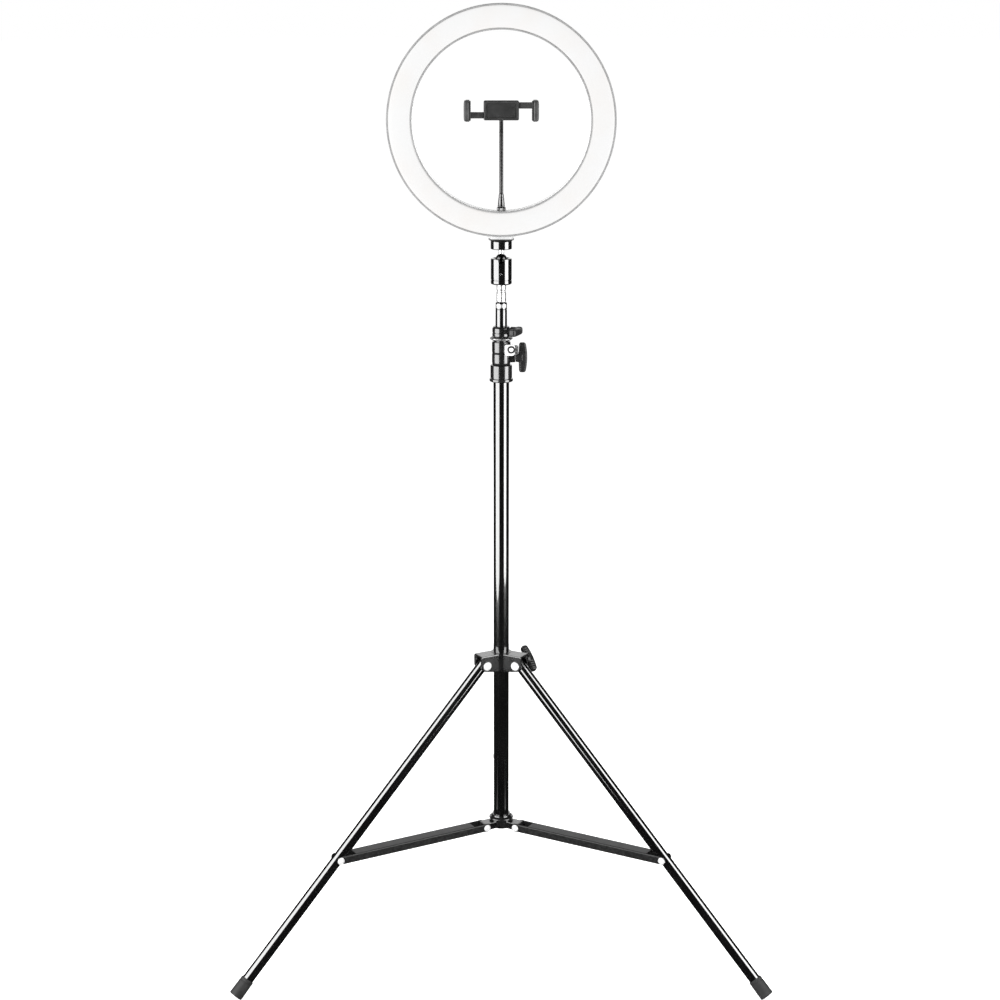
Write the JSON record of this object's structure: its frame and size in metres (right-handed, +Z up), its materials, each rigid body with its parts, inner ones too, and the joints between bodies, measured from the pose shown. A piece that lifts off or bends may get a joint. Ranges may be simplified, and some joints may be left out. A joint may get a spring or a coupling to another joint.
{
  "type": "ring light on tripod stand",
  "caption": "Ring light with a white shell and milky front on a ball head, telescopic stand and folding braced tripod, with a phone clamp on a gooseneck inside the ring.",
  "frame": {"origin": "on the floor, at the centre of the tripod's footprint box; the stand's vertical axis is at x = 0, y = -0.0889 m", "axes": "+Z up, the lit face of the ring looks along -Y, +X is to the right seen from the lit side"},
  "size_m": [0.6352, 0.5523, 1.1322],
  "materials": {
    "diffuser": "milky translucent, lit from behind",
    "shell_white": "smooth white moulding",
    "board": "pale board with yellow LED chips",
    "brass": "turned",
    "chrome": "bright plated",
    "black_gloss": "glossy black moulding",
    "black_metal": "glossy black coating on thin steel tube",
    "black_plastic": "satin black moulding",
    "grey_plastic": "satin dark grey moulding",
    "dark_sheet": "satin grey-black pressed steel",
    "rubber": "matte moulded rubber"
  },
  "bodies": {
    "column": {"column_tube": "black_metal", "column_plug": "black_plastic", "lower_collar": "black_gloss", "clamp_plate": "chrome", "hub": "black_gloss", "hub_bolt_left": "chrome", "hub_bolt_right": "chrome", "hub_bolt_rear": "chrome"},
    "crown_body": {"crown": "black_gloss", "leg_bolt_left": "chrome", "leg_bolt_right": "chrome", "leg_bolt_rear": "chrome"},
    "lower_lock": {"lower_knob": "black_plastic", "lower_screw": "chrome"},
    "crown_lock": {"crown_knob": "black_plastic", "crown_screw": "chrome"},
    "mid_stage": {"mid_tube": "black_metal", "upper_collar": "black_gloss", "upper_flange": "chrome"},
    "upper_lock": {"upper_knob": "black_plastic", "upper_screw": "chrome"},
    "top_stage": {"top_tube": "black_metal", "top_plug": "black_plastic", "spigot": "chrome"},
    "head_cup": {"ball_housing": "black_gloss", "seat_screw": "chrome"},
    "head_lock": {"lock_knob": "black_gloss"},
    "head_ball": {"ball": "chrome"},
    "ring_head": {"platform": "black_gloss", "platform_stud": "chrome", "rear_housing": "shell_white", "front_diffuser": "diffuser", "led_board": "board", "neck_insert": "brass", "power_socket": "black_plastic", "holder_nut": "black_plastic"},
    "arm_base": {"arm_ferrule": "black_gloss"},
    "arm": {"gooseneck": "black_plastic", "arm_tip": "chrome", "arm_ball": "chrome"},
    "clamp_cup": {"clamp_socket": "black_plastic"},
    "clamp_frame": {"clamp_body": "black_plastic"},
    "jaw_right_body": {"jaw_right": "grey_plastic", "pad_right": "rubber"},
    "jaw_left_body": {"jaw_left": "grey_plastic", "pad_left": "rubber"},
    "leg_left_body": {"leg_left": "black_metal", "foot_left": "rubber"},
    "brace_left_body": {"brace_left": "dark_sheet", "brace_pin_left": "chrome"},
    "leg_right_body": {"leg_right": "black_metal", "foot_right": "rubber"},
    "brace_right_body": {"brace_right": "dark_sheet", "brace_pin_right": "chrome"},
    "leg_rear_body": {"leg_rear": "black_metal", "foot_rear": "rubber"},
    "brace_rear_body": {"brace_rear": "dark_sheet", "brace_pin_rear": "chrome"}
  },
  "joints": [
    {"name": "crown_slide", "type": "slide", "parent": "column", "child": "crown_body", "axis": [0, 0, 1], "range_m": [0, 0.27557]},
    {"name": "leg_left_hinge", "type": "hinge", "parent": "crown_body", "child": "leg_left_body", "pos_m": [-0.02165, -0.10142, 0.3566], "axis": [0.5, -0.866, 0], "range_deg": [0, 39.45]},
    {"name": "brace_left_hinge", "type": "hinge", "parent": "column", "child": "brace_left_body", "pos_m": [-0.02165, -0.10142, 0.14769], "axis": [-0.5, 0.866, 0], "range_deg": [0, 84.11]},
    {"name": "leg_right_hinge", "type": "hinge", "parent": "crown_body", "child": "leg_right_body", "pos_m": [0.02165, -0.10142, 0.3566], "axis": [0.5, 0.866, 0], "range_deg": [0, 39.45]},
    {"name": "brace_right_hinge", "type": "hinge", "parent": "column", "child": "brace_right_body", "pos_m": [0.02165, -0.10142, 0.14769], "axis": [-0.5, -0.866, 0], "range_deg": [0, 84.11]},
    {"name": "leg_rear_hinge", "type": "hinge", "parent": "crown_body", "child": "leg_rear_body", "pos_m": [0, -0.06392, 0.3566], "axis": [-1, 0, 0], "range_deg": [0, 39.45]},
    {"name": "brace_rear_hinge", "type": "hinge", "parent": "column", "child": "brace_rear_body", "pos_m": [0, -0.06392, 0.14769], "axis": [1, 0, 0], "range_deg": [0, 84.11]},
    {"name": "mid_slide", "type": "slide", "parent": "column", "child": "mid_stage", "axis": [0, 0, 1], "range_m": [0, 0.36]},
    {"name": "top_slide", "type": "slide", "parent": "mid_stage", "child": "top_stage", "axis": [0, 0, 1], "range_m": [0, 0.36]},
    {"name": "lower_knob_turn", "type": "hinge", "parent": "column", "child": "lower_lock", "pos_m": [0.0165, -0.08892, 0.7293], "axis": [1, 0, 0], "range_deg": [0, 270]},
    {"name": "upper_knob_turn", "type": "hinge", "parent": "mid_stage", "child": "upper_lock", "pos_m": [0.01062, -0.09279, 0.7604], "axis": [0.9397, -0.342, 0], "range_deg": [0, 270]},
    {"name": "crown_knob_turn", "type": "hinge", "parent": "crown_body", "child": "crown_lock", "pos_m": [0.02511, -0.07442, 0.353], "axis": [0.866, 0.5, 0], "range_deg": [0, 270]},
    {"name": "head_pan", "type": "hinge", "parent": "top_stage", "child": "head_cup", "pos_m": [0, -0.08892, 0.8153], "axis": [0, 0, 1], "range_deg": [-180, 180]},
    {"name": "lock_knob_turn", "type": "hinge", "parent": "head_cup", "child": "head_lock", "pos_m": [0, -0.07612, 0.8375], "axis": [0, 1, 0], "range_deg": [0, 270]},
    {"name": "head_tilt", "type": "hinge", "parent": "head_cup", "child": "head_ball", "pos_m": [0, -0.08892, 0.844], "axis": [1, 0, 0], "range_deg": [-35, 55]},
    {"name": "head_lean", "type": "hinge", "parent": "head_ball", "child": "ring_head", "pos_m": [0, -0.08892, 0.844], "axis": [0, 1, 0], "range_deg": [-30, 30]},
    {"name": "arm_swivel", "type": "hinge", "parent": "ring_head", "child": "arm_base", "pos_m": [0, -0.08892, 0.9051], "axis": [0, 0, 1], "range_deg": [-90, 90]},
    {"name": "arm_bend", "type": "hinge", "parent": "arm_base", "child": "arm", "pos_m": [0, -0.08892, 0.9196], "axis": [1, 0, 0], "range_deg": [-20, 20]},
    {"name": "clamp_tilt", "type": "hinge", "parent": "arm", "child": "clamp_cup", "pos_m": [0, -0.08542, 1.014], "axis": [1, 0, 0], "range_deg": [-30, 12]},
    {"name": "clamp_turn", "type": "hinge", "parent": "clamp_cup", "child": "clamp_frame", "pos_m": [0, -0.08542, 1.014], "axis": [0, 1, 0], "range_deg": [-90, 90]},
    {"name": "jaw_right_slide", "type": "slide", "parent": "clamp_frame", "child": "jaw_right_body", "axis": [1, 0, 0], "range_m": [-0.007, 0.008]},
    {"name": "jaw_left_slide", "type": "slide", "parent": "clamp_frame", "child": "jaw_left_body", "axis": [-1, 0, 0], "range_m": [-0.007, 0.008]}
  ],
  "couplings": [
    {"joint": "leg_left_hinge", "follows": "crown_slide", "rad_per_m": 2.4981},
    {"joint": "brace_left_hinge", "follows": "crown_slide", "rad_per_m": 5.3265},
    {"joint": "leg_right_hinge", "follows": "crown_slide", "rad_per_m": 2.4981},
    {"joint": "brace_right_hinge", "follows": "crown_slide", "rad_per_m": 5.3265},
    {"joint": "leg_rear_hinge", "follows": "crown_slide", "rad_per_m": 2.4981},
    {"joint": "brace_rear_hinge", "follows": "crown_slide", "rad_per_m": 5.3265},
    {"joint": "jaw_left_slide", "follows": "jaw_right_slide", "ratio": 1}
  ]
}
